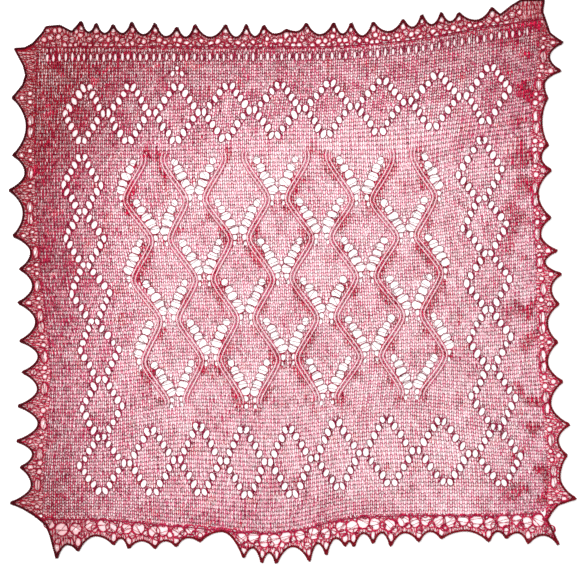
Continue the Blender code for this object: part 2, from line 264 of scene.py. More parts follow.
# %% Holes of the vees
VEE_LEVELS = 6
VEE_COLUMNS = 9  # the first and last are half vees
FIRST_VEE_STITCH = 23
VEE_SPACING = 9.75
FIRST_VEE_ROW = 43
VEE_ROW_SPACING = 12
VEE_LEAN = 0.4
VEE_RIM = 0.35
VEE_HOLES = (
    # stitches out from the axis, rows up from the foot, width, height
    (1.25, 0.4, 16.5, 13.5),
    (2.05, 2.4, 17.5, 14.0),
    (2.8, 4.5, 16.5, 13.5),
    (3.65, 6.5, 14.5, 13.0),
    (4.6, 8.6, 11.0, 12.0),
    (1.3, -1.8, 8.0, 9.0),
    (1.35, -3.7, 5.0, 7.0),
)


def vees():
    """Each lace vee as its stitch, its foot's row and the sides that it has."""
    found = []
    for level in range(VEE_LEVELS):
        for column in range(level % 2, VEE_COLUMNS, 2):
            sides = (-1, 1)
            if column == 0:
                sides = (1,)
            if column == VEE_COLUMNS - 1:
                sides = (-1,)
            stitch = FIRST_VEE_STITCH + column * VEE_SPACING
            found.append((stitch, FIRST_VEE_ROW + level * VEE_ROW_SPACING, sides))
    return found


def vee_holes():
    """The holes of each arm, and the two that trail below its foot."""
    holes = []
    for stitch, row, sides in vees():
        for side in sides:
            for out, up, width, height in VEE_HOLES:
                lean = side * VEE_LEAN if up >= 0 else 0.0
                holes.append((stitch + side * out, row - up, width, height, lean, VEE_RIM))
    return holes


lattice_holes = vee_holes()
print("holes in the vees:", len(lattice_holes))

# %% Slots beside the top seam, and all the holes
SLOT = (4.4, 13.0)
SLOT_SPACING = 1.7  # stitches
SLOT_ROW = 2.7
SLOT_ENDS = 3.0  # stitches left plain at each end
SLOT_RIM = 0.75
CLUSTER = (
    # stitch, row, width, height, lean, rim
    (36.9, 7.9, 6.5, 9.0, 0.3, EYELET_RIM),
    (38.9, 7.9, 6.5, 9.0, -0.3, EYELET_RIM),
    (37.9, 6.3, 5.5, 8.0, 0.0, EYELET_RIM),
)
HOLE_SEED = 11
SIZE_SPREAD = 0.09
PLACE_SPREAD = 0.1  # stitches or rows
MOST_SPREAD = 0.2


def seam_slots():
    """A row of long narrow gaps inside the top seam."""
    stitches = np.arange(SLOT_ENDS, LAST_STITCH - SLOT_ENDS, SLOT_SPACING)
    return [(stitch, SLOT_ROW, *SLOT, 0.0, SLOT_RIM) for stitch in stitches]


def uneven(holes):
    """The holes as an array, each a little off its size and place, and sorted from the top down."""
    random = np.random.default_rng(HOLE_SEED)
    holes = np.array(holes, dtype=HOLE)
    for name in ("width", "height"):
        holes[name] *= 1 + random.normal(0, SIZE_SPREAD, len(holes)).clip(-MOST_SPREAD, MOST_SPREAD)
    for name in ("stitch", "row"):
        holes[name] += random.normal(0, PLACE_SPREAD, len(holes)).clip(-MOST_SPREAD, MOST_SPREAD)
    return np.sort(holes, order="row")


field_holes = uneven(frame_holes + lattice_holes + seam_slots() + list(CLUSTER))
print("holes in the field:", len(field_holes))

# %% [markdown]
# ## Yarn loops
# Stockinette is one long yarn that snakes across each row: up one leg of a loop, over its head, down
# the other leg and along to the next. The legs stand in front of the head of the loop below, and that
# is what locks the rows. Sines and cosines of one angle draw this whole path, so an array of angles
# makes all the loops of a row at once. Six points a loop are enough, because a stitch is only a
# few pixels wide in the picture, and they keep 17,000 stitches inside a sensible size.

# %% Courses of loops
LOOP_TURNS = np.radians((-150, -90, -30, 30, 90, 150))  # up one leg, over the head and down the other
LOOP_HALF_HEIGHT = 0.8  # rows from a loop's middle to the top of its curve
HEAD_WIDTH = 0.07  # stitches that the loop bulges at its head and foot
LEG_CLOSENESS = 0.03  # stitches that its two legs stand closer than evenly spaced
LOOP_DEPTH = 0.42  # half the height that the yarn rises and falls between the back and the front


def courses(rows, stitches):
    """Chart places of the loops of all rows: stitch, row and lift from back (0) to front (1)."""
    turn = (np.arange(stitches)[:, None] * 2 * np.pi + LOOP_TURNS).ravel()
    across = turn / (2 * np.pi) + HEAD_WIDTH * np.sin(2 * turn) - LEG_CLOSENESS * np.sin(turn) + 0.5
    rise = LOOP_HALF_HEIGHT * np.cos(turn)
    lift = (1 - np.cos(2 * turn)) / 2
    stitch = np.tile(across, (rows, 1))
    row = np.arange(rows)[:, None] + 0.5 - rise
    return stitch, row, np.tile(lift, (rows, 1))


field_chart = courses(LAST_ROW, LAST_STITCH)
print("points of yarn in the field:", field_chart[0].size)

# %% [markdown]
# ## Opening the holes
# A hole parts the rows: those above its middle arch over it, and those below sag under it. If points
# were just pushed straight away from the middle, a yarn that crosses it would be left strung across
# the gap. A known map from aerodynamics opens a level slit into a round hole instead, and keeps the
# rows above it above and those below it below. Points near the slit land on the rim, and those
# further off move less and less, so the yarn bunches round each hole as it does in real lace.

# %% Opening one hole and all of them
SLIT = 0.8  # half length of the slit, as a share of the hole's half width
REACH = 4.5  # how far the push reaches, in the map's own rings
PARTED = 1.3  # hole sizes from its middle, up to where the rows are kept apart
PARTED_FADE = 0.3
RIM = 0.55  # half the yarn's thickness, kept clear inside the rim
WINDOW_ROWS = 4
WINDOW_STITCHES = 3.5
CLEARING_PASSES = 2
THINNING = 4  # how fast the thinning dies away from a hole
TINY = 1e-6


def turned(points, angle):
    """Points turned clockwise by the angle."""
    x, y = points[..., 0], points[..., 1]
    return np.stack([x * np.cos(angle) + y * np.sin(angle), y * np.cos(angle) - x * np.sin(angle)], axis=-1)


def half_sizes(holes):
    """Half the width and height of a hole or of each of many, up to the middle of the yarn round it."""
    return np.stack([holes["width"], holes["height"]], axis=-1) / 2 + RIM


def pushed_open(points, above, centre, hole):
    """Points moved out of one hole, and how tightly each is pulled round its rim, from 0 to 1."""
    size = half_sizes(hole)
    flat = turned(points - centre, -hole["lean"]) / size
    near = np.clip((PARTED - np.hypot(flat[..., 0], flat[..., 1])) / PARTED_FADE, 0, 1)
    sided = np.where(above, np.maximum(flat[..., 1], TINY), np.minimum(flat[..., 1], -TINY))
    place = flat[..., 0] + 1j * (flat[..., 1] + near * (sided - flat[..., 1]))
    slit = place / SLIT
    ring = slit + np.sqrt(slit - 1) * np.sqrt(slit + 1)
    rings_out = np.abs(ring)
    share = np.clip((rings_out - 1) / (REACH - 1), 0, 1)
    moved = (1 - share) * ring / rings_out + share * place
    moved = moved * np.maximum(1 / np.maximum(np.abs(moved), TINY), 1)
    moved = np.where(share < 1, moved, flat[..., 0] + 1j * flat[..., 1])
    spread = np.stack([moved.real, moved.imag], axis=-1) * size
    return turned(spread, hole["lean"]) + centre, 1 - share


def window(hole):
    """The rows, and the points along them, that are near a hole."""
    rows = slice(max(int(hole["row"]) - WINDOW_ROWS, 0), int(hole["row"]) + WINDOW_ROWS)
    first = max(int((hole["stitch"] - WINDOW_STITCHES) * len(LOOP_TURNS)), 0)
    return rows, slice(first, int((hole["stitch"] + WINDOW_STITCHES) * len(LOOP_TURNS)))


def open_holes(places, holes, centres):
    """Opens each hole in turn in an array of courses. Changes places, and returns how tightly each point
    is pulled and the share of its thickness that it keeps."""
    tight, thinned = np.zeros(places.shape[:2]), np.zeros(places.shape[:2])
    for hole, centre in zip(holes, centres):
        near = window(hole)
        above = (np.arange(places.shape[0])[near[0]] + 0.5 < hole["row"])[:, None]
        places[near], pull = pushed_open(places[near], above, centre, hole)
        tight[near] = np.maximum(tight[near], pull)
        thinned[near] = np.maximum(thinned[near], pull**THINNING * (1 - hole["rim"]))
    for _ in range(CLEARING_PASSES):
        clear_holes(places, holes, centres)
    return tight, 1 - thinned


def clear_holes(places, holes, centres):
    """Moves yarn that a neighbouring hole has pushed into a hole straight out to its rim."""
    for hole, centre in zip(holes, centres):
        near, size = window(hole), half_sizes(hole)
        flat = turned(places[near] - centre, -hole["lean"]) / size
        out = np.maximum(np.linalg.norm(flat, axis=2, keepdims=True), TINY)
        places[near] = turned(flat * np.maximum(1 / out, 1) * size, hole["lean"]) + centre


field_places = blocked(field_chart[0], field_chart[1])
field_centres = blocked(field_holes["stitch"], field_holes["row"])
field_tight, field_kept = open_holes(field_places, field_holes, field_centres)
print("share of the yarn that is pulled tight:", round(float((field_tight > 0.5).mean()), 3))

# %% [markdown]
# ## Travelling ridges
# Between the columns of vees run pairs of raised stitches that lean now to one side and now to the
# other. Their course on the chart is a cosine, straightened between its turns by an arcsine. The loops
# near each crest are drawn together and lifted, which leaves a furrow between the two crests.

# %% Ridge lines
RIDGE_FROM_AXIS = 2.3
RIDGE_LAG = 2.5
RIDGE_PAIR = 5.6
RIDGE_ROWS_ABOVE = 11
RIDGE_ROWS_BELOW = 3
RIDGE_STEP = 1.0  # rows
RIDGE_STRAIGHTNESS = 0.9  # 0 is a pure cosine, and 1 a zigzag
RIDGE_HEIGHT = 0.7
RIDGE_HALF_WIDTH = 2.8
RIDGE_NEAR = 12.0  # how far the redder wool beside a ridge reaches
NEAR_SLOPE = 2.0  # at 2, the inner half of that reach has it in full
RIDGE_GATHER = 0.12
GATHER_SLOPE = 2.0  # at 2, the inner half of a ridge is gathered in full
PATCH_SEED = 3
PATCH_GRID = 44  # random numbers along each side of the field
PATCH_LEAST = 0.50
PATCH_FADE = 0.12
PATCH_ELSEWHERE = 0.25
PATCH_RIGHT = 320.0  # from here to the right edge the wool grows redder
PATCH_RIGHT_REACH = 80.0


def ridge_course(number):
    """The charted course of the double ridge between two columns of vees."""
    first = FIRST_VEE_ROW - RIDGE_ROWS_ABOVE
    last = FIRST_VEE_ROW + (VEE_LEVELS - 1) * VEE_ROW_SPACING + RIDGE_ROWS_BELOW
    rows = np.arange(first, last + RIDGE_STEP, RIDGE_STEP)
    middle = FIRST_VEE_STITCH + (number + 0.5) * VEE_SPACING
    swing = VEE_SPACING / 2 - RIDGE_FROM_AXIS
    side = -1 if number % 2 == 0 else 1
    wave = np.cos((rows - FIRST_VEE_ROW - RIDGE_LAG) / VEE_ROW_SPACING * np.pi)
    wave = np.arcsin(RIDGE_STRAIGHTNESS * wave) / np.arcsin(RIDGE_STRAIGHTNESS)
    return middle + side * swing * wave, rows


def beside(line, distance):
    """A line moved sideways, to its left where distance is above zero."""
    along = np.gradient(line, axis=0)
    along /= np.linalg.norm(along, axis=1)[:, None]
    return line + distance * np.stack([-along[:, 1], along[:, 0]], axis=1)


def offset_from(points, line):
    """From each point to the nearest place on a line, as a vector."""
    start, along = line[:-1], np.diff(line, axis=0)
    share = ((points[:, None] - start) * along).sum(axis=2) / (along**2).sum(axis=1)
    foot = start + np.clip(share, 0, 1)[:, :, None] * along
    offsets = foot - points[:, None]
    nearest = np.linalg.norm(offsets, axis=2).argmin(axis=1)
    return offsets[np.arange(len(points)), nearest]


def gather_ridges(places, crests):
    """Draws the yarn near each crest towards it. Changes places, and returns each point's share of the
    crest's height, and how near a crest it is."""
    raised, near = np.zeros(places.shape[:2]), np.zeros(places.shape[:2])
    for crest in crests:
        low, high = crest.min(axis=0) - RIDGE_NEAR, crest.max(axis=0) + RIDGE_NEAR
        inside = ((places > low) & (places < high)).all(axis=2)
        points = places[inside]
        offset = offset_from(points, crest)
        distance = np.linalg.norm(offset, axis=1)
        nearness = np.clip(NEAR_SLOPE * (1 - distance / RIDGE_NEAR), 0, 1)
        near[inside] = np.maximum(near[inside], nearness)
        share = np.clip(1 - distance / RIDGE_HALF_WIDTH, 0, 1)
        places[inside] = points + offset * (RIDGE_GATHER * np.minimum(share * GATHER_SLOPE, 1))[:, None]
        raised[inside] = np.maximum(raised[inside], share)
    return raised, near


def red_patches(near, places):
    """Where the wool is redder and thicker: smooth patches, most beside the ridges and at the right."""
    random = np.random.default_rng(PATCH_SEED)
    coarse = random.random((PATCH_GRID, PATCH_GRID))
    knots = np.arange(PATCH_GRID)
    rows, columns = (np.linspace(0, PATCH_GRID - 1, count) for count in near.shape)
    across = np.stack([np.interp(columns, knots, line) for line in coarse])
    smooth = np.stack([np.interp(rows, knots, line) for line in across.T], axis=1)
    share = np.clip((smooth - PATCH_LEAST) / PATCH_FADE, 0, 1)
    right = (places[..., 0] - PATCH_RIGHT) / PATCH_RIGHT_REACH
    return share * np.clip(np.maximum(near, right) + PATCH_ELSEWHERE, 0, 1)


ridge_middles = [blocked(*ridge_course(number)) for number in range(VEE_COLUMNS - 1)]
crests = [beside(line, side * RIDGE_PAIR / 2) for line in ridge_middles for side in (-1, 1)]
field_raised, field_near = gather_ridges(field_places, crests)
field_rosy = red_patches(field_near, field_places)
print("ridges:", len(crests), "share of yarn in them:", round(float((field_raised > 0).mean()), 3))

# %% [markdown]
# ## From lines of yarn to a mesh
# Blender can bevel a curve into a tube, but with 17,000 stitches that is slow and rounds each tube more
# than needed. Numpy builds the rings of all the tubes at once instead: at each point three corners
# stand round the yarn's direction, and each ring is joined to the next. The mesh also keeps four
# numbers at each point for the material: how tight, how high, how red, and how far along the yarn.
# The material paints shade from the first two, darker where the yarn is tight or low.

# %% Tubes
SIDES = 3
RING_TURNS = np.radians(90) + np.arange(SIDES) * 2 * np.pi / SIDES  # one corner on top
MASKS = ("tight", "lift", "rosy", "along")


def yarn_batch(lines, radii, tight, lift, rosy=0.0):
    """Lines of yarn that have the same number of points, with their radii and masks filled out."""
    steps = np.linalg.norm(np.diff(lines, axis=1), axis=2)
    along = np.concatenate([np.zeros((len(lines), 1)), np.cumsum(steps, axis=1)], axis=1)
    batch = {"lines": lines, "along": along}
    for name, values in (("radii", radii), ("tight", tight), ("lift", lift), ("rosy", rosy)):
        batch[name] = np.broadcast_to(np.asarray(values, float), lines.shape[:2])
    return batch


def with_height(flat, height):
    """Points in x and y given a height, one for all or one for each."""
    return np.concatenate([flat, np.broadcast_to(height, flat.shape[:-1])[..., None]], axis=-1)


def rings_round(lines, radii):
    """Corners of the rings round each point of lines, an array of lines of points in x, y and z."""
    along = np.gradient(lines, axis=1)
    along /= np.linalg.norm(along, axis=2, keepdims=True) + TINY
    side = np.cross(along, (0.0, 0.0, 1.0))
    side /= np.linalg.norm(side, axis=2, keepdims=True) + TINY
    up = np.cross(side, along)
    arms = np.cos(RING_TURNS)[:, None] * side[:, :, None] + np.sin(RING_TURNS)[:, None] * up[:, :, None]
    return lines[:, :, None] + arms * radii[:, :, None, None]


def tube_faces(line_count, point_count):
    """Corner numbers of the quads along the tubes and of the triangles that close their ends."""
    ring = np.arange(SIDES)
    after = (ring + 1) % SIDES
    first = (np.arange(line_count)[:, None] * point_count + np.arange(point_count - 1)) * SIDES
    first = first.reshape(-1, 1)
    quads = np.stack([first + ring, first + after, first + SIDES + after, first + SIDES + ring], axis=2)
    starts = np.arange(line_count)[:, None] * point_count * SIDES
    ends = starts + (point_count - 1) * SIDES
    caps = np.concatenate([starts + ring[::-1], ends + ring])
    return quads.reshape(-1, 4), caps


def yarn_mesh(name, batches):
    """One mesh of closed tubes from batches of yarn, with the masks kept at each corner."""
    corners, quads, caps, count = [], [], [], 0
    for batch in batches:
        corners.append(rings_round(batch["lines"], batch["radii"]).reshape(-1, 3) * MM)
        batch_quads, batch_caps = tube_faces(*batch["lines"].shape[:2])
        quads.append(batch_quads + count)
        caps.append(batch_caps + count)
        count += len(corners[-1])
    corners, quads, caps = (np.concatenate(each) for each in (corners, quads, caps))
    mesh = bpy.data.meshes.new(name)
    mesh.vertices.add(len(corners))
    mesh.vertices.foreach_set("co", corners.ravel())
    mesh.loops.add(quads.size + caps.size)
    mesh.loops.foreach_set("vertex_index", np.concatenate([quads.ravel(), caps.ravel()]))
    mesh.polygons.add(len(quads) + len(caps))
    sizes = np.concatenate([np.full(len(quads), 4), np.full(len(caps), SIDES)])
    mesh.polygons.foreach_set("loop_start", np.concatenate([[0], np.cumsum(sizes)[:-1]]))
    for mask in MASKS:
        values = np.concatenate([np.repeat(batch[mask].ravel(), SIDES) for batch in batches])
        attribute = mesh.attributes.new(mask, "FLOAT", "POINT")
        attribute.data.foreach_set("value", values.astype(np.float32))
    mesh.update(calc_edges=True)
    mesh.validate()
    mesh.shade_smooth()
    return mesh


def add_piece(mesh, material, node):
    """Shows a mesh as a piece that stands for a CAD node, and returns it."""
    piece = bpy.data.objects.new(mesh.name, mesh)
    bpy.context.scene.collection.objects.link(piece)
    mesh.materials.append(material)
    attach(piece, "root")
    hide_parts(node)
    return piece


def triangles(piece):
    """How many triangles a piece has."""
    return len(piece.data.loops) - 2 * len(piece.data.polygons)


print("corners of one ring:", SIDES)

# %% [markdown]
# ## Wool materials
# The wool is dyed unevenly: crimson at the borders, rose in the middle, with redder patches here and
# there. Its colour is also painted darker where threads crowd together and where they dip behind
# others: painted shade. Two node groups hold what all the wool shares: one for the dye, from the place
# on the cloth, and one for the twist of the yarn. Each material mixes its own colours with them.

# %% Node helpers
def new_group(name, inputs, outputs):
    """A shader node group with named sockets, and its input and output nodes."""
    group = bpy.data.node_groups.new(name, "ShaderNodeTree")
    for label, kind, value in inputs:
        socket = group.interface.new_socket(label, in_out="INPUT", socket_type=kind)
        if value is not None:
            socket.default_value = value
    for label, kind in outputs:
        group.interface.new_socket(label, in_out="OUTPUT", socket_type=kind)
    return group, group.nodes.new("NodeGroupInput"), group.nodes.new("NodeGroupOutput")


def feed(tree, socket, value):
    """Links an output to a socket, or sets the socket to a plain value."""
    if isinstance(value, bpy.types.NodeSocket):
        tree.links.new(value, socket)
    else:
        socket.default_value = value


def calculate(tree, operation, *values):
    """A math node; each value is a number or an output socket. Returns its output."""
    node = tree.nodes.new("ShaderNodeMath")
    node.operation = operation
    for socket, value in zip(node.inputs, values):
        feed(tree, socket, value)
    return node.outputs[0]


def noise(tree, place, scale, detail):
    """Noise from 0 to 1 at a place."""
    node = tree.nodes.new("ShaderNodeTexNoise")
    node.inputs["Scale"].default_value = scale
    node.inputs["Detail"].default_value = detail
    tree.links.new(place, node.inputs["Vector"])
    return node.outputs["Fac"]


def between(tree, value, low, high):
    """0 where the value is at most low, 1 from high on, smooth between."""
    node = tree.nodes.new("ShaderNodeMapRange")
    node.interpolation_type = "SMOOTHSTEP"
    node.inputs["From Min"].default_value = low
    node.inputs["From Max"].default_value = high
    tree.links.new(value, node.inputs["Value"])
    return node.outputs["Result"]


def mixed(tree, share, first, second):
    """A colour mixed from two, each a colour or an output socket."""
    node = tree.nodes.new("ShaderNodeMix")
    node.data_type = "RGBA"
    tree.links.new(share, node.inputs["Factor"])
    for label, colour in (("A", first), ("B", second)):
        feed(tree, next(s for s in node.inputs if s.name == label and s.type == "RGBA"), colour)
    return next(s for s in node.outputs if s.type == "RGBA")


print("node helpers ready")

# %% Dye group
DYE_HALF_SIDE = 0.43  # metres from the middle to where the dye is deepest
DYE_SQUARENESS = 3.0
DYE_SLOPE = 0.45  # how much deeper towards the upper left corner
DYE_RANGE = (0.70, 1.36)
NOISE_MIDDLE = 0.5
BLOTCH_NOISE = (7.0, 3.0)  # scale and detail, as in the next two
PATCH_NOISE = (42.0, 2.0)
STITCH_NOISE = (210.0, 1.0)
UNEVENNESS = 0.25
PATCH_RANGE = (0.57, 0.68)
STITCH_RANGE = (0.38, 0.66)


def dye_group():
    """How deep the dye is, its redder patches, and each stitch's own shade, from the place on the cloth."""
    inputs = [("Place", "NodeSocketVector", None), ("Rosy", "NodeSocketFloat", 0.0)]
    outputs = [(label, "NodeSocketFloat") for label in ("Depth", "Patch", "Shade")]
    group, given, result = new_group("uneven_dye", inputs, outputs)
    place = given.outputs["Place"]
    parts = group.nodes.new("ShaderNodeSeparateXYZ")
    group.links.new(place, parts.inputs[0])
    powers = []
    for part in parts.outputs[:2]:
        out = calculate(group, "ABSOLUTE", calculate(group, "DIVIDE", part, DYE_HALF_SIDE))
        powers.append(calculate(group, "POWER", out, DYE_SQUARENESS))
    square = calculate(group, "POWER", calculate(group, "ADD", *powers), 1 / DYE_SQUARENESS)
    slope = calculate(group, "SUBTRACT", parts.outputs[1], parts.outputs[0])
    leaning = calculate(group, "MULTIPLY_ADD", slope, DYE_SLOPE, square)
    blotch = calculate(group, "SUBTRACT", noise(group, place, *BLOTCH_NOISE), NOISE_MIDDLE)
    wavy = calculate(group, "MULTIPLY_ADD", blotch, UNEVENNESS, leaning)
    group.links.new(between(group, wavy, *DYE_RANGE), result.inputs["Depth"])
    patchy = between(group, noise(group, place, *PATCH_NOISE), *PATCH_RANGE)
    redder = calculate(group, "MAXIMUM", given.outputs["Rosy"], patchy)
    group.links.new(redder, result.inputs["Patch"])
    shade = between(group, noise(group, place, *STITCH_NOISE), *STITCH_RANGE)
    group.links.new(shade, result.inputs["Shade"])
    return group


uneven_dye = dye_group()
print("group:", uneven_dye.name)

# %% Twist group
TWIST_PITCH = 2.2  # from one turn of the plies to the next
FIBRE_NOISE = (900.0, 2.0)  # scale and detail
PLY_MIDDLE = 0.5  # in the bump's own height, as the next two
PLY_RISE = 0.35
FIBRE_RISE = 0.3


def twist_group():
    """Height and fibre shade of the yarn's twisted plies, from the length along the yarn."""
    inputs = [("Along", "NodeSocketFloat", 0.0), ("Place", "NodeSocketVector", None)]
    outputs = [("Height", "NodeSocketFloat"), ("Fibre", "NodeSocketFloat")]
    group, given, result = new_group("yarn_twist", inputs, outputs)
    turns = calculate(group, "MULTIPLY", given.outputs["Along"], 2 * np.pi / TWIST_PITCH)
    fibre = noise(group, given.outputs["Place"], *FIBRE_NOISE)
    ply = calculate(group, "MULTIPLY_ADD", calculate(group, "SINE", turns), PLY_RISE, PLY_MIDDLE)
    group.links.new(calculate(group, "MULTIPLY_ADD", fibre, FIBRE_RISE, ply), result.inputs["Height"])
    group.links.new(fibre, result.inputs["Fibre"])
    return group


yarn_twist = twist_group()
print("group:", yarn_twist.name)

# %% Wool materials
ROSE = (0.94, 0.105, 0.29, 1.0)
# near white: a painted highlight for the raised crests of the ridges
HIGHLIGHT_BLUSH = (1.0, 0.92, 0.93, 1.0)
CRIMSON = (0.42, 0.008, 0.021, 1.0)
SCARLET = (0.94, 0.035, 0.14, 1.0)
RED = (0.85, 0.02, 0.09, 1.0)
# painted shade colour for low and crowded yarn, and also the darker tone of some stitches
SHADOW_AND_DARK_TONE = (0.17, 0.002, 0.019, 1.0)
MAROON = (0.045, 0.0, 0.003, 1.0)
SHINE = 0.1
ROUGHNESS_LEAST = 0.65
ROUGHNESS_MORE = 0.25  # added where a fibre is palest
BUMP_STRENGTH = 0.5
BUMP_DEPTH = 0.2
WOOLS = {
    # colours in the middle, at the border, and of painted shade and darker stitches; shares of patches, of
    # painted shade and of the stitches' own darker tones
    "field_wool": (ROSE, CRIMSON, SHADOW_AND_DARK_TONE, 1.0, 0.8, 0.75),
    # the crests' near-white is a painted highlight, and their shadow share paints shade on the plies' lower
    # turns
    "crest_wool": (HIGHLIGHT_BLUSH, ROSE, ROSE, 0.1, 0.25, 0.3),
    "furrow_wool": (ROSE, CRIMSON, CRIMSON, 0.7, 0.3, 0.9),
    "edging_wool": (SCARLET, CRIMSON, SHADOW_AND_DARK_TONE, 0.4, 0.5, 0.6),
    "cord_wool": (CRIMSON, MAROON, MAROON, 0.1, 0.6, 0.6),
}


def read_mask(tree, name):
    """A number that the mesh keeps at each point."""
    node = tree.nodes.new("ShaderNodeAttribute")
    node.attribute_name = name
    return node.outputs["Fac"]


def placed(tree, group, **values):
    """A group node with its inputs linked or set."""
    node = tree.nodes.new("ShaderNodeGroup")
    node.node_tree = group
    for label, value in values.items():
        feed(tree, node.inputs[label], value)
    return node


def wool(name, pale, deep, shadow_and_dark_tone, patch_share, shadow_share, stitch_share):
    """Dyed wool: pale and deep are its colours in the middle of the shawl and at its border. The shares
    say how strong its red patches, its painted shade and its stitches' own darker tones are. The third
    colour is painted shade where the yarn lies low or is pulled tight, and the same colour darkens
    stitches by random amounts."""
    material, tree, shader = new_material(name)
    place = tree.nodes.new("ShaderNodeTexCoord").outputs["Object"]
    dye = placed(tree, uneven_dye, Place=place, Rosy=read_mask(tree, "rosy"))
    twist = placed(tree, yarn_twist, Along=read_mask(tree, "along"), Place=place)
    ground = mixed(tree, dye.outputs["Depth"], pale, deep)
    patched = mixed(tree, calculate(tree, "MULTIPLY", dye.outputs["Patch"], patch_share), ground, RED)
    # Painted shade: yarn that lies low behind others or is pulled tight round a hole is darkened towards
    # the shadow colour.
    low = calculate(tree, "SUBTRACT", 1.0, read_mask(tree, "lift"))
    painted_shade = calculate(tree, "MAXIMUM", low, read_mask(tree, "tight"))
    shaded = mixed(tree, calculate(tree, "MULTIPLY", painted_shade, shadow_share), patched, shadow_and_dark_tone)
    # Each stitch's own random tone, darker towards the same colour.
    darker = calculate(tree, "MULTIPLY", dye.outputs["Shade"], stitch_share)
    tree.links.new(mixed(tree, darker, shaded, shadow_and_dark_tone), shader.inputs["Base Color"])
    rough = calculate(tree, "MULTIPLY_ADD", twist.outputs["Fibre"], ROUGHNESS_MORE, ROUGHNESS_LEAST)
    tree.links.new(rough, shader.inputs["Roughness"])
    bump = tree.nodes.new("ShaderNodeBump")
    bump.inputs["Strength"].default_value = BUMP_STRENGTH
    bump.inputs["Distance"].default_value = BUMP_DEPTH * MM
    tree.links.new(twist.outputs["Height"], bump.inputs["Height"])
    tree.links.new(bump.outputs["Normal"], shader.inputs["Normal"])
    shader.inputs["Specular IOR Level"].default_value = SHINE
    return material


wools = [wool(name, *values) for name, values in WOOLS.items()]
field_wool, crest_wool, furrow_wool, edging_wool, cord_wool = wools
print("wool materials:", [material.name for material in wools])

# %% [markdown]
# ## The knitted field
# The field's 138 rows are built as four pieces, one below the other, so that each mesh keeps a size
# that a viewer can handle. The yarn is thicker at the borders, where the cloth was stretched less.
# Small random steps from stitch to stitch, smoothed a little, give the unevenness of hand knitting.
# Round each hole runs the yarn that was laid over the needle, as a closed ring, and beside each eyelet
# and slot stands the doubled stitch that keeps the count, as a thick strand. Rings and strands are
# painted dark as shade where the yarn crowds.

# %% Yarn of the field
YARN_RADIUS = 0.50
BORDER_RADIUS = 0.69
RADIUS_SPREAD = 0.16
RADIUS_MOST_SPREAD = 0.4
PATCH_THICKER = 0.75
BORDER_HALF_SIDE = 395.0
BORDER_SLOPE = 0.36  # how much thicker towards the upper left corner
BORDER_START = 0.6
BORDER_MOST = 2.0
WAVER = 0.36
FIELD_PIECES = 4
FIELD_SEED = 5
RIM_POINTS = 11
RIM_END_RADIUS = 0.75  # share of its radius that a rim has above and below its hole
RIM_HEIGHT = 1.3
RIM_LIFT = 0.3
STRAND_POINTS = 4
STRAND_OUT = 5.1  # from the hole's middle to the strand
STRAND_RISE = 2.0
STRAND_LENGTH = 13.0
STRAND_RADIUS = 1.15
STRAND_HEIGHT = 1.6
STRAND_TAPER = 0.5


def yarn_lines(places, lift, raised, radii, waver, seed):
    """Points of yarn in x, y and z, with a hand's small unevenness. The lowest touch the floor."""
    random = np.random.default_rng(seed)
    steps = random.normal(0, waver, (*places.shape[:2], 2))
    steps = (steps + np.roll(steps, 1, axis=1) + np.roll(steps, -1, axis=1)) / 2
    heights = radii + LOOP_DEPTH * 2 * lift + RIDGE_HEIGHT * raised
    return with_height(places + steps, heights)


def round_holes(holes, centres, turns, ragged=1.0, shrink=1.0):
    """Places round each hole at the given angles, perhaps on a ragged or a shrunken outline."""
    circle = np.stack([np.cos(turns), np.sin(turns)], axis=-1)
    size = half_sizes(holes) * shrink
    return turned(circle * ragged * size[:, None], holes["lean"][:, None]) + centres[:, None]


def rims(holes, centres):
    """A closed ring of yarn round each hole, set fully tight so that it is painted dark as shade."""
    turns = np.linspace(0, 2 * np.pi, RIM_POINTS)
    lines = with_height(round_holes(holes, centres, turns), RIM_HEIGHT)
    thick = RIM_END_RADIUS + (1 - RIM_END_RADIUS) * np.cos(turns) ** 2
    # fully tight: the rim takes the wool's painted shade in full
    return yarn_batch(lines, holes["rim"][:, None] * thick, 1.0, RIM_LIFT)


def strands(holes, centres):
    """The doubled stitch beside each eyelet or slot: a thick strand that leans as the hole does, set fully
    tight and low so that it is painted dark as shade.
    """
    places = np.linspace(-1, 1, STRAND_POINTS)
    straight = np.stack([np.full(STRAND_POINTS, STRAND_OUT), places * STRAND_LENGTH / 2], axis=1)
    sides = np.where(holes["lean"] > 0, -1, 1)[:, None, None]
    offsets = turned(straight * sides, holes["lean"][:, None])
    lines = with_height(offsets + centres[:, None] + [0, STRAND_RISE], STRAND_HEIGHT)
    thick = STRAND_RADIUS * (1 - STRAND_TAPER * places**2)
    # fully tight and low: the strand takes the wool's painted shade in full
    return yarn_batch(lines, thick, 1.0, 0.0)


def border_share(places):
    """0 in the middle of the shawl, 1 at its border and more where the cloth is densest."""
    scaled = places / BORDER_HALF_SIDE
    out = np.linalg.norm(scaled, ord=DYE_SQUARENESS, axis=-1)
    out += BORDER_SLOPE * (scaled[..., 1] - scaled[..., 0]) / 2
    return np.clip((out - BORDER_START) / (1 - BORDER_START), 0, BORDER_MOST)


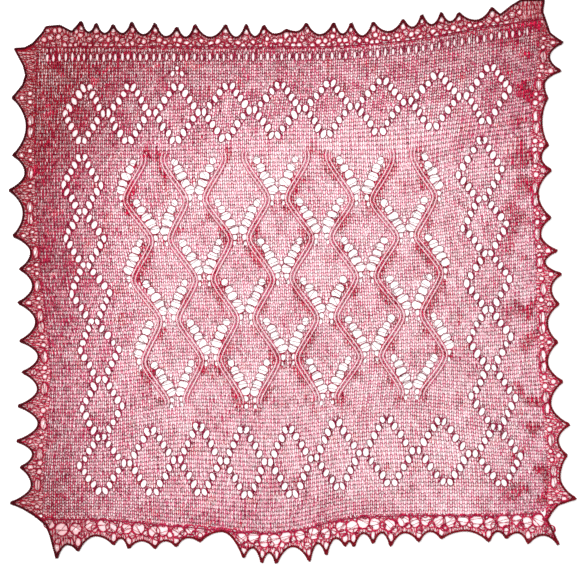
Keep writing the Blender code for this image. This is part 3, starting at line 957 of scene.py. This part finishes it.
def knit_field():
    """The pieces of the field, from the top down."""
    radii = YARN_RADIUS + (BORDER_RADIUS - YARN_RADIUS) * border_share(field_places)
    radii *= field_kept
    spread = np.random.default_rng(FIELD_SEED).normal(0, RADIUS_SPREAD, (LAST_ROW, LAST_STITCH))
    spread = spread.clip(-RADIUS_MOST_SPREAD, RADIUS_MOST_SPREAD)
    radii *= 1 + np.repeat(spread, len(LOOP_TURNS), axis=1)
    radii *= 1 + PATCH_THICKER * field_rosy
    lines = yarn_lines(field_places, field_chart[2], field_raised, radii, WAVER, FIELD_SEED)
    pieces = []
    for number, rows in enumerate(np.array_split(np.arange(LAST_ROW), FIELD_PIECES)):
        masks = [mask[rows] for mask in (field_tight, field_chart[2], field_rosy)]
        loops = yarn_batch(lines[rows], radii[rows], *masks)
        here = (field_holes["row"] >= rows[0]) & (field_holes["row"] < rows[-1] + 1)
        holes, centres = field_holes[here], field_centres[here]
        doubled = holes["rim"] != VEE_RIM
        batches = [loops, rims(holes, centres), strands(holes[doubled], centres[doubled])]
        mesh = yarn_mesh(f"field_knit_{number + 1}", batches)
        pieces.append(add_piece(mesh, field_wool, "field"))
    return pieces


field_pieces = knit_field()
print("triangles in each piece:", [triangles(piece) for piece in field_pieces])

# %% [markdown]
# ## Travelling stitches and stray threads
# Each crest of a ridge is a line of stitches that travels over the cloth, each twisted round the
# next. Two plies wound round the crest give that look; their pale colour, near white in the middle,
# is a painted highlight where the raised stitches catch the light, and their lower turns carry painted
# shade. Redder yarn lies low in the furrow between two crests and at their feet, a little darkened by
# painted shade. Across each large hole of the vees runs one thin thread, painted dark as shade.

# %% Ridge stitches
CREST_STEP = 1.9
CREST_TWIST = 8.4
CREST_PLY = 0.6
CREST_OFFSET = 0.75
CREST_HEIGHT = 2.5
FURROW_STEP = 3.2
FURROW_RADIUS = 0.5
FURROW_HEIGHT = 1.9
FURROWS = (-0.85, 0.0, 0.85)  # places across a double ridge, in its own widths


def even_steps(line, step):
    """The line as points one step apart, and how far along each is."""
    lengths = np.concatenate([[0], np.cumsum(np.linalg.norm(np.diff(line, axis=0), axis=1))])
    places = np.linspace(0, lengths[-1], int(lengths[-1] / step) + 1)
    return np.stack([np.interp(places, lengths, line[:, axis]) for axis in (0, 1)], axis=1), places


def twisted(line, step, pitch, offset, radius, height, tight=0.0):
    """Two plies wound round a line, their middle at the given height."""
    middle, along = even_steps(line, step)
    direction = np.gradient(middle, axis=0)
    direction /= np.linalg.norm(direction, axis=1)[:, None] + TINY
    side = np.stack([direction[:, 1], -direction[:, 0]], axis=1)
    plies = []
    for start in (0, np.pi):
        turn = along / pitch * 2 * np.pi + start
        flat = middle + side * (np.cos(turn) * offset)[:, None]
        plies.append(with_height(flat, height + np.sin(turn) * offset))
    lines = np.stack(plies)
    # Lift follows the plies' height, so where the yarn is not set fully tight the wool paints their lower
    # turns darker as shade.
    return yarn_batch(lines, radius, tight, (lines[:, :, 2] - height) / (2 * offset) + 0.5)


def furrow_yarn(line):
    """A single yarn laid low along a line, set fully tight and low so that it carries the furrow wool's
    painted shade.
    """
    middle, _ = even_steps(line, FURROW_STEP)
    return yarn_batch(with_height(middle, FURROW_HEIGHT)[None], FURROW_RADIUS, 1.0, 0.0)


crest_sizes = (CREST_STEP, CREST_TWIST, CREST_OFFSET, CREST_PLY, CREST_HEIGHT)
crest_yarn = [twisted(crest, *crest_sizes) for crest in crests]
furrows = [furrow_yarn(beside(line, place * RIDGE_PAIR)) for line in ridge_middles for place in FURROWS]
ridge_pieces = [
    add_piece(yarn_mesh("ridge_stitches", crest_yarn), crest_wool, "field"),
    add_piece(yarn_mesh("ridge_furrows", furrows), furrow_wool, "field"),
]
print("triangles in the ridges:", [triangles(piece) for piece in ridge_pieces])

# %% Threads over the vee holes
THREAD_RADIUS = 0.4
THREAD_SPREAD = 0.5  # radians
VEE_THREADS = 1  # in each hole
THREAD_SAG = 0.4
THREAD_SEED = 8
LARGE_HOLE = 9.0  # millimetres wide and high


def stray_threads(holes, centres, each, seed):
    """Thin threads from rim to rim of the large holes, at uneven angles, painted dark as shade by being set
    fully tight and low.
    """
    random = np.random.default_rng(seed)
    large = (holes["width"] > LARGE_HOLE) & (holes["height"] > LARGE_HOLE)
    holes, centres = np.repeat(holes[large], each), np.repeat(centres[large], each, axis=0)
    ends = np.pi * np.array([1.0, 0.0]) + random.normal(0, THREAD_SPREAD, (len(holes), 2))
    flat = round_holes(holes, centres, ends)
    sag = flat.mean(axis=1) + random.normal(0, THREAD_SAG, (len(holes), 2))
    flat = np.stack([flat[:, 0], sag, flat[:, 1]], axis=1)
    return yarn_batch(with_height(flat, RIM_HEIGHT), THREAD_RADIUS, 1.0, 0.0)


in_vee = field_holes["rim"] == VEE_RIM
threads = stray_threads(field_holes[in_vee], field_centres[in_vee], VEE_THREADS, THREAD_SEED)
thread_piece = add_piece(yarn_mesh("vee_threads", [threads]), field_wool, "field")
print("triangles in the threads:", triangles(thread_piece))

# %% [markdown]
# ## The halo
# Fine wool has a halo: a haze of loose fibres that fills the small spaces between stitches but not the
# lace holes. Hair curves could draw it, at the price of millions of them. A single thin sheet low in
# the cloth, cut out at the lace holes and mostly see-through, gives the same blush over the white
# floor. The narrow slots beside the top seam keep theirs.

# %% Halo sheet
HALO_HEIGHT = 0.35
HALO_SIDES = 10
HALO_COLOUR = (0.95, 0.13, 0.24, 1.0)
HALO_LEAST = 0.02
HALO_MORE = 0.15  # where the dye is deepest
HALO_GRAIN = 0.12
HALO_REACH = 0.42  # how far it reaches into the holes at the border, as a share of their size
LEAST_OPENING = 0.15  # share of its size that an opening keeps where the cloth is densest
HALO_RAGGED = (0.7, 1.1)  # least and greatest share of its size at each corner of an opening
HALO_ROUGHNESS = 1.0
HALO_SEED = 9
OUTLINE_STEP = 2.0  # stitches or rows
INSIDE_FACES = 1  # tells Blender's triangulation to leave out what is outside all faces


def halo_material(name, pale, least, more):
    """Loose fibres: pink, and see-through by a share that varies from place to place."""
    material, tree, shader = new_material(name)
    place = tree.nodes.new("ShaderNodeTexCoord").outputs["Object"]
    dye = placed(tree, uneven_dye, Place=place)
    tree.links.new(mixed(tree, dye.outputs["Depth"], pale, CRIMSON), shader.inputs["Base Color"])
    haze = calculate(tree, "MULTIPLY_ADD", dye.outputs["Depth"], more, least)
    grain = noise(tree, place, *FIBRE_NOISE)
    tree.links.new(calculate(tree, "MULTIPLY_ADD", grain, HALO_GRAIN, haze), shader.inputs["Alpha"])
    shader.inputs["Roughness"].default_value = HALO_ROUGHNESS
    return material


def halo_mesh(name, outline, holes, centres):
    """A flat sheet inside the outline, which runs anticlockwise, with an opening at each hole."""
    turns = np.arange(HALO_SIDES) * 2 * np.pi / HALO_SIDES
    shrink = np.maximum(1 - HALO_REACH * border_share(centres[:, None]), LEAST_OPENING)
    ragged = np.random.default_rng(HALO_SEED).uniform(*HALO_RAGGED, (len(holes), HALO_SIDES, 1))
    places, faces = [], []
    for ring in [outline, *round_holes(holes, centres, turns, ragged, shrink)]:
        faces.append(list(range(len(places), len(places) + len(ring))))
        places += [tuple(place) for place in ring]
    found = delaunay_2d_cdt(places, [], faces, INSIDE_FACES, TINY)
    kept = [face for face, sources in zip(found[2], found[5]) if sources and max(sources) == 0]
    used = sorted({corner for face in kept for corner in face})
    number = {corner: i for i, corner in enumerate(used)}
    mesh = bpy.data.meshes.new(name)
    points = [(found[0][corner][0] * MM, found[0][corner][1] * MM, HALO_HEIGHT * MM) for corner in used]
    mesh.from_pydata(points, [], [[number[corner] for corner in face] for face in kept])
    return mesh


def field_outline():
    """The field's own outline, a little inside its seams."""
    stitches, rows = (np.arange(0, last + 1, OUTLINE_STEP) for last in (LAST_STITCH, LAST_ROW))
    bottom, right = blocked(stitches, LAST_ROW), blocked(LAST_STITCH, rows[::-1])
    top, left = blocked(stitches[::-1], 0), blocked(0, rows)
    return np.concatenate([side[:-1] for side in (bottom, right, top, left)])


field_haze = halo_material("field_haze", HALO_COLOUR, HALO_LEAST, HALO_MORE)
cut = field_holes["rim"] != SLOT_RIM
halo_sheet = halo_mesh("field_halo", field_outline(), field_holes[cut], field_centres[cut])
halo = add_piece(halo_sheet, field_haze, "field")
print("triangles in the halo:", triangles(halo))

# %% [markdown]
# ## The edgings
# Each edging is a narrow strip of looser lace knitted on round the field, with a point every few
# rows. It could be drawn as one more grid, but its inner side follows the seam and its outer side a
# scalloped line, so the strip is charted between those two lines instead.

# %% Outlines of the edgings
SEAM_GAP = -2.2  # the edging's first loops reach into the field's last ones
TOP_POINTS = (
    # across, height of the tip, height of the notch to its right
    (-338, 415, 398), (-314, 412, 396), (-287, 410, 396), (-257, 414, 394), (-220, 412, 391),
    (-185, 406, 390), (-156, 410, 390), (-107, 410, 390), (-74, 410, 391), (-46, 409, 395),
    (-10, 402, 399), (22, 412, 394), (66, 413, 395), (94, 413, 392), (129, 414, 399),
    (177, 418, 406), (207, 426, 410), (238, 429, 415), (266, 429, 417), (319, 437, 427),
)
BOTTOM_POINTS = (
    # across, height of the tip, height of the notch to its right
    (-377, -442, -420), (-343, -430, -406), (-286, -420, -410), (-262, -426, -414),
    (-220, -426, -414), (-186, -423, -409), (-148, -415, -399), (-78, -441, -425),
    (-49, -449, -433), (-26, -450, -423), (27, -446, -418), (54, -436, -410), (84, -422, -415),
    (98, -423, -402), (129, -418, -401), (157, -422, -401), (202, -415, -399), (238, -410, -398),
    (314, -415, -399), (342, -410, -401), (377, -418, -405), (425, -420, -400),
)
LEFT_POINTS = (
    # height, across at the tip, across at the notch below it
    (294, -447, -425), (202, -446, -427), (146, -452, -430), (73, -446, -418), (20, -435, -415),
    (-34, -438, -410), (-95, -435, -406), (-145, -431, -407), (-199, -438, -406),
    (-255, -440, -415), (-297, -434, -417), (-354, -450, -416),
)
RIGHT_POINTS = (
    # height, across at the tip, across at the notch below it
    (382, 431, 410), (337, 428, 402), (293, 407, 398), (218, 408, 397), (178, 413, 392),
    (102, 412, 396), (49, 422, 403), (12, 429, 413), (-36, 425, 407), (-97, 423, 407),
    (-160, 431, 412), (-229, 442, 424), (-278, 438, 427), (-347, 452, 420),
)
TOP_START = ((-444, 372), (-428, 373), (-415, 380), (-399, 398), (-394, 407), (-372, 409), (-353, 399))
TOP_END = ((332, 426), (351, 441), (366, 450), (386, 450.4), (402, 450))
BOTTOM_START = ((-412, -374), (-394, -389), (-387, -406), (-382, -426))
LEFT_START = ((372, -444), (346, -430), (330, -426), (314, -431))
LEFT_END = ((-363, -430), (-374, -412))
RIGHT_START = ((415, 405), (397, 411))
RIGHT_END = ((-357, 424), (-369, 414), (-381, 407))
TOP_SIDE = ((432, 399), (450, 402))  # the right side of the top edging
TOP_SEAM_ENDS = ((-444, 370), (405, 415))
BOTTOM_SEAM_START = (-412, -374)
BOTTOM_SEAM_END = ((406, -381), (413, -393), (425, -420))
LEFT_SEAM_END = (-374, -412)  # height and across, as in the next two
RIGHT_SEAM_START = (415, 405)
RIGHT_SEAM_END = (-381, 406)
POINT_SHARPNESS = 2.0
POINT_STEPS = np.linspace(0.06, 0.94, 12)  # shares of the way from one tip to the next


def scalloped(start, points, end):
    """The outer line of an edging, as rows of how far along and how far out, in order along."""
    line = list(start)
    for (along, tip, notch), (next_along, next_tip, _) in zip(points[:-1], points[1:]):
        line.append((along, tip))
        for share in POINT_STEPS:
            nearer = tip if share < 0.5 else next_tip
            rise = abs(1 - 2 * share) ** POINT_SHARPNESS
            line.append((along + (next_along - along) * share, notch + (nearer - notch) * rise))
    line.append(points[-1][:2])
    return in_order(np.array(line + list(end), float))


def in_order(line):
    """The line from its least place along to its greatest."""
    return line if line[0, 0] < line[-1, 0] else line[::-1]


SEAM_STEPS = 80
stitches = np.linspace(0, LAST_STITCH, SEAM_STEPS + 1)
rows = np.linspace(0, LAST_ROW, SEAM_STEPS + 1)
top_seam = np.concatenate([TOP_SEAM_ENDS[:1], blocked(stitches, 0), TOP_SEAM_ENDS[1:]])
bottom_seam = np.concatenate([[BOTTOM_SEAM_START], blocked(stitches, LAST_ROW)[:-1], BOTTOM_SEAM_END])
left_side, right_side = (blocked(stitch, rows)[:, ::-1] for stitch in (0, LAST_STITCH))
left_seam = in_order(np.concatenate([left_side, [LEFT_SEAM_END]]))
right_seam = in_order(np.concatenate([[RIGHT_SEAM_START], right_side, [RIGHT_SEAM_END]]))
top_line = scalloped(TOP_START, TOP_POINTS, TOP_END)
bottom_line = scalloped(BOTTOM_START, BOTTOM_POINTS, ())
left_line = scalloped(LEFT_START, LEFT_POINTS, LEFT_END)
right_line = scalloped(RIGHT_START, RIGHT_POINTS, RIGHT_END)
print("points on the outer lines:", [len(line) for line in (top_line, bottom_line, left_line, right_line)])

# %% [markdown]
# ## Knitting an edging
# The same loops are used again. A strip's stitches run along the seam and its rows from the seam to
# the outer line, so rows crowd together at a notch and open out at a point. Its holes are less even
# than those of the field: large ones along the bottom, small ones in lines along the top, and long
# ones at the notches of the sides.

# %% Edging yarn
EDGING_STITCH = 6.0
EDGING_ROWS = 5
EDGING_RADIUS = 0.75
EDGING_THREADS = 3  # in each large hole
EDGING_WAVER = 0.8
EDGING_RIM = 1.0
EDGING_HAZE_LEAST = 0.04
EDGING_HAZE_MORE = 0.32
BAND_MARGIN = 6.0  # kept free of holes at each end
HALO_STEPS = 60


class Strip:
    """An edging charted between its seam and its outer line. In its own frame the first number of a
    point is how far along it is and the second how far out, whichever side of the field it is on."""

    def __init__(self, seam, line, upright, plain_end=0.0):
        self.way = np.sign(line[:, 1].mean() - seam[:, 1].mean())
        self.seam, self.line, self.upright = seam * (1, self.way), line * (1, self.way), upright
        self.first, self.last = max(seam[0, 0], line[0, 0]), min(seam[-1, 0], line[-1, 0])
        self.last_hole = self.last - BAND_MARGIN - plain_end
        self.stitches = int(round((self.last - self.first) / EDGING_STITCH))

    def inner(self, along):
        """How far out the seam is."""
        return np.interp(along, self.seam[:, 0], self.seam[:, 1])

    def depth(self, along):
        """How far the outer line is from the seam."""
        return np.interp(along, self.line[:, 0], self.line[:, 1]) - self.inner(along)

    def places(self, stitch, row):
        """Places of charted stitches and rows in the strip's frame; row 0 is the outermost."""
        along = self.first + (self.last - self.first) * stitch / self.stitches
        share = np.clip(1 - row / EDGING_ROWS, 0, 1)
        room = np.maximum(self.depth(along) - SEAM_GAP - 2 * EDGING_RADIUS, 0)
        out = self.inner(along) + SEAM_GAP + EDGING_RADIUS + share * room
        return np.stack([along, out], axis=-1)

    def hole(self, along, share, width, height, lean):
        """A hole a share of the way out, with its width along the strip and its height across it."""
        stitch = (along - self.first) / (self.last - self.first) * self.stitches
        return stitch, EDGING_ROWS * (1 - share), width, height, lean, EDGING_RIM

    def real(self, points):
        """Points in the strip's frame moved to their real x and y; a third number stays as it is."""
        moved = points.copy()
        moved[..., 1] *= self.way
        if self.upright:
            moved[..., :2] = moved[..., 1::-1]
        return moved


edging_haze = halo_material("edging_haze", SCARLET, EDGING_HAZE_LEAST, EDGING_HAZE_MORE)


def edging_halo(node, strip, holes, centres):
    """The haze of an edging, between its seam and its outer line."""
    inside = (strip.line[:, 0] >= strip.first) & (strip.line[:, 0] <= strip.last)
    along = np.linspace(strip.first, strip.last, HALO_STEPS)
    seam = np.stack([along, strip.inner(along)], axis=1)
    outline = np.concatenate([seam, strip.line[inside][::-1]])
    mesh = halo_mesh(f"{node}_halo", outline, holes, centres)
    for corner in mesh.vertices:
        corner.co = strip.real(np.array(corner.co))
    return add_piece(mesh, edging_haze, node)


def knit_edging(node, strip, holes, seed):
    """One edging of looser loops, with its holes opened and rimmed, and its haze."""
    chart = courses(EDGING_ROWS, strip.stitches)
    places = strip.places(chart[0], chart[1])
    holes = np.array(holes, dtype=HOLE)
    centres = strip.places(holes["stitch"], holes["row"])
    tight, kept = open_holes(places, holes, centres)
    radii = EDGING_RADIUS * kept
    lines = yarn_lines(places, chart[2], np.zeros_like(tight), radii, EDGING_WAVER, seed)
    batches = [yarn_batch(lines, radii, tight, chart[2]), rims(holes, centres)]
    batches.append(stray_threads(holes, centres, EDGING_THREADS, seed))
    for batch in batches:
        batch["lines"] = strip.real(batch["lines"])
    haze = edging_halo(node, strip, holes, centres)
    return add_piece(yarn_mesh(f"{node}_knit", batches), edging_wool, node), haze


print("an edging's rows:", EDGING_ROWS)

# %% Holes of the edgings
LEAST_DEPTH = 7.0
WANDER = 2.2  # how far a hole can be from its even place
LEAN_SPREAD = 0.4  # radians
TOP_LINES = (
    # share of the way out, pitch, stagger in pitches, least size, greatest size
    (0.22, 11.5, 0.0, 7.5, 10.0),
    (0.56, 11.5, 0.5, 7.5, 10.5),
    (0.84, 11.5, 0.0, 7.0, 9.0),
)
BOTTOM_LINES = (
    # share of the way out, pitch, stagger in pitches, least size, greatest size
    (0.40, 20.0, 0.0, 15.0, 21.0),
    (0.64, 20.0, 0.5, 8.5, 11.0),
    (0.14, 19.0, 0.5, 4.5, 6.0),
)
TOP_PLAIN_END = 32.0  # the top edging is dense in the upper right corner
SMALL_SHARE = 0.40  # the tallest small hole, as a share of the edging's depth
LARGE_SHARE = 0.78
TIP_SHARE = 0.76
TIP_SIZE = (8.5, 13.0)
NOTCH_SIZE = (20.0, 9.5)
NOTCH_SHARE = 0.5
NOTCH_PAIR = (-9.0, 9.0)  # places of the two holes along a long notch, from its middle
LONG_NOTCH = 60.0
POINT_HOLES = ((0.28, -7.0, 7.5), (0.28, 7.0, 7.5), (0.62, 0.0, 8.5))  # share out, place along, size
POINT_HOLE_SPREAD = (0.85, 1.15)


def line_of_holes(strip, random, share, pitch, stagger, least, greatest):
    """Uneven holes at about one share of the way out, wherever there is room."""
    holes = []
    for along in np.arange(strip.first + BAND_MARGIN + stagger * pitch, strip.last_hole, pitch):
        along += random.normal(0, WANDER)
        size, depth = random.uniform(least, greatest), strip.depth(along)
        tall = min(size, depth * (LARGE_SHARE if least > LARGE_HOLE else SMALL_SHARE))
        if depth > LEAST_DEPTH and depth * (1 - share) > tall / 2 + EDGING_RIM:
            holes.append(strip.hole(along, share, size, tall, random.normal(0, LEAN_SPREAD)))
    return holes


def band_holes(strip, points, seed, lines):
    """Staggered lines of uneven holes along a top or bottom edging, and one in each point."""
    random = np.random.default_rng(seed)
    tips = [along for along, _, _ in points if strip.depth(along) > LEAST_DEPTH]
    holes = [strip.hole(along, TIP_SHARE, *TIP_SIZE, 0.0) for along in tips]
    for line in lines:
        holes += line_of_holes(strip, random, *line)
    return holes


def side_holes(strip, points, seed, shapes):
    """A long hole or two at each notch of a side edging, and smaller ones in each point."""
    random = np.random.default_rng(seed)
    holes = []
    for (along, _, _), (next_along, _, _) in zip(points[:-1], points[1:]):
        middle = (along + next_along) / 2
        for beside_middle in NOTCH_PAIR if abs(next_along - along) > LONG_NOTCH else (0.0,):
            holes.append(strip.hole(middle + beside_middle, NOTCH_SHARE, *NOTCH_SIZE, 0.0))
    for along, _, _ in points:
        for share, beside_tip, size in shapes:
            size *= random.uniform(*POINT_HOLE_SPREAD)
            holes.append(strip.hole(along + beside_tip, share, size, size, 0.0))
    return holes


strips = {
    # strip, how its holes are made, its points, its seed, its lines or shapes of holes
    "top": (Strip(top_seam, top_line, False, TOP_PLAIN_END), band_holes, TOP_POINTS, 21, TOP_LINES),
    "bottom": (Strip(bottom_seam, bottom_line, False), band_holes, BOTTOM_POINTS, 22, BOTTOM_LINES),
    "left": (Strip(left_seam, left_line, True), side_holes, LEFT_POINTS, 23, POINT_HOLES),
    "right": (Strip(right_seam, right_line, True), side_holes, RIGHT_POINTS, 24, POINT_HOLES),
}
knitted = [
    knit_edging(f"edging_{side}", strip, make_holes(strip, points, seed, kinds), seed)
    for side, (strip, make_holes, points, seed, kinds) in strips.items()
]
edgings, hazes = zip(*knitted)
print("triangles in each edging:", [triangles(piece) for piece in edgings])
print("triangles in each haze:", [triangles(piece) for piece in hazes])

# %% [markdown]
# ## Cords
# The shawl ends in a firm edge: the last row is cast off tightly, which twists two strands of yarn
# into a dark cord that runs up each point and down again. A like cord marks the top and bottom seams.
# The two strands wind round each other, offset from the line by a sine and a cosine. Each point ends
# in a small hard knot where the cord turns, so the strands are thicker near the tips.

# %% Twisted cords
CORD_STEP = 1.7
CORD_TWIST = 6.0
EDGE_PLY = (0.95, 1.45)  # how far each strand is off the cord's middle, and its radius
SEAM_PLY = (0.5, 0.85)
SEAM_CORD_OUT = 2.5
KNOT_SWELL = 0.75
KNOT_REACH = 6.0  # how far from a tip the cord is thicker
tips = [(across, height) for across, height, _ in TOP_POINTS + BOTTOM_POINTS]
tips += [(across, height) for height, across, _ in LEFT_POINTS + RIGHT_POINTS]
tips = np.array(tips)


def cord(kind, side, line, ply, material):
    """A twisted cord on the floor, thicker at the tips of the points."""
    offset, radius = ply
    middle, _ = even_steps(line, CORD_STEP)
    nearest = np.linalg.norm(middle[:, None] - tips, axis=2).min(axis=1)
    radii = radius * (1 + KNOT_SWELL * np.exp(-((nearest / KNOT_REACH) ** 2)))
    batch = twisted(line, CORD_STEP, CORD_TWIST, offset, radii, sum(ply), 1.0)
    return add_piece(yarn_mesh(f"{kind}_cord_{side}", [batch]), material, f"edging_{side}")


bottom_end = np.array(BOTTOM_SEAM_END[:0:-1])[:, ::-1]
right_edge = np.concatenate([bottom_end, right_line, TOP_SIDE])  # from corner to corner
edge_lines = {
    "top": top_line,
    "bottom": bottom_line,
    "left": left_line[:, ::-1],
    "right": right_edge[:, ::-1],
}
seam_lines = {
    "top": top_seam + [0, SEAM_CORD_OUT],
    "bottom": bottom_seam[:-2] - [0, SEAM_CORD_OUT],
}
cords = {}
for side, line in edge_lines.items():
    cords[side] = [cord("edge", side, line, EDGE_PLY, cord_wool)]
    if side in seam_lines:
        cords[side].append(cord("seam", side, seam_lines[side], SEAM_PLY, field_wool))
all_cords = [piece for pieces in cords.values() for piece in pieces]
print("triangles in the cords:", sum(triangles(piece) for piece in all_cords))

# %% [markdown]
# ## What the cloth is
# The script then works out each edging's area, counts the pieces and their triangles, and finishes.


def strip_area(strip):
    """The area in square metres between a strip's seam and its outer line, holes and all."""
    depths = strip.depth(np.arange(strip.first, strip.last))
    return depths.mean() * (strip.last - strip.first) * MM**2


for side, piece, haze in zip(strips, edgings, hazes):
    strip_area(strips[side][0])
print("sheets declared:", len(field_pieces) + 1 + len(edgings) + len(hazes))

# %% Finish
shown = [*field_pieces, *ridge_pieces, thread_piece, halo, *edgings, *hazes, *all_cords]
counts = [triangles(piece) for piece in shown]
print("triangles in all:", sum(counts), "in the largest piece:", max(counts))
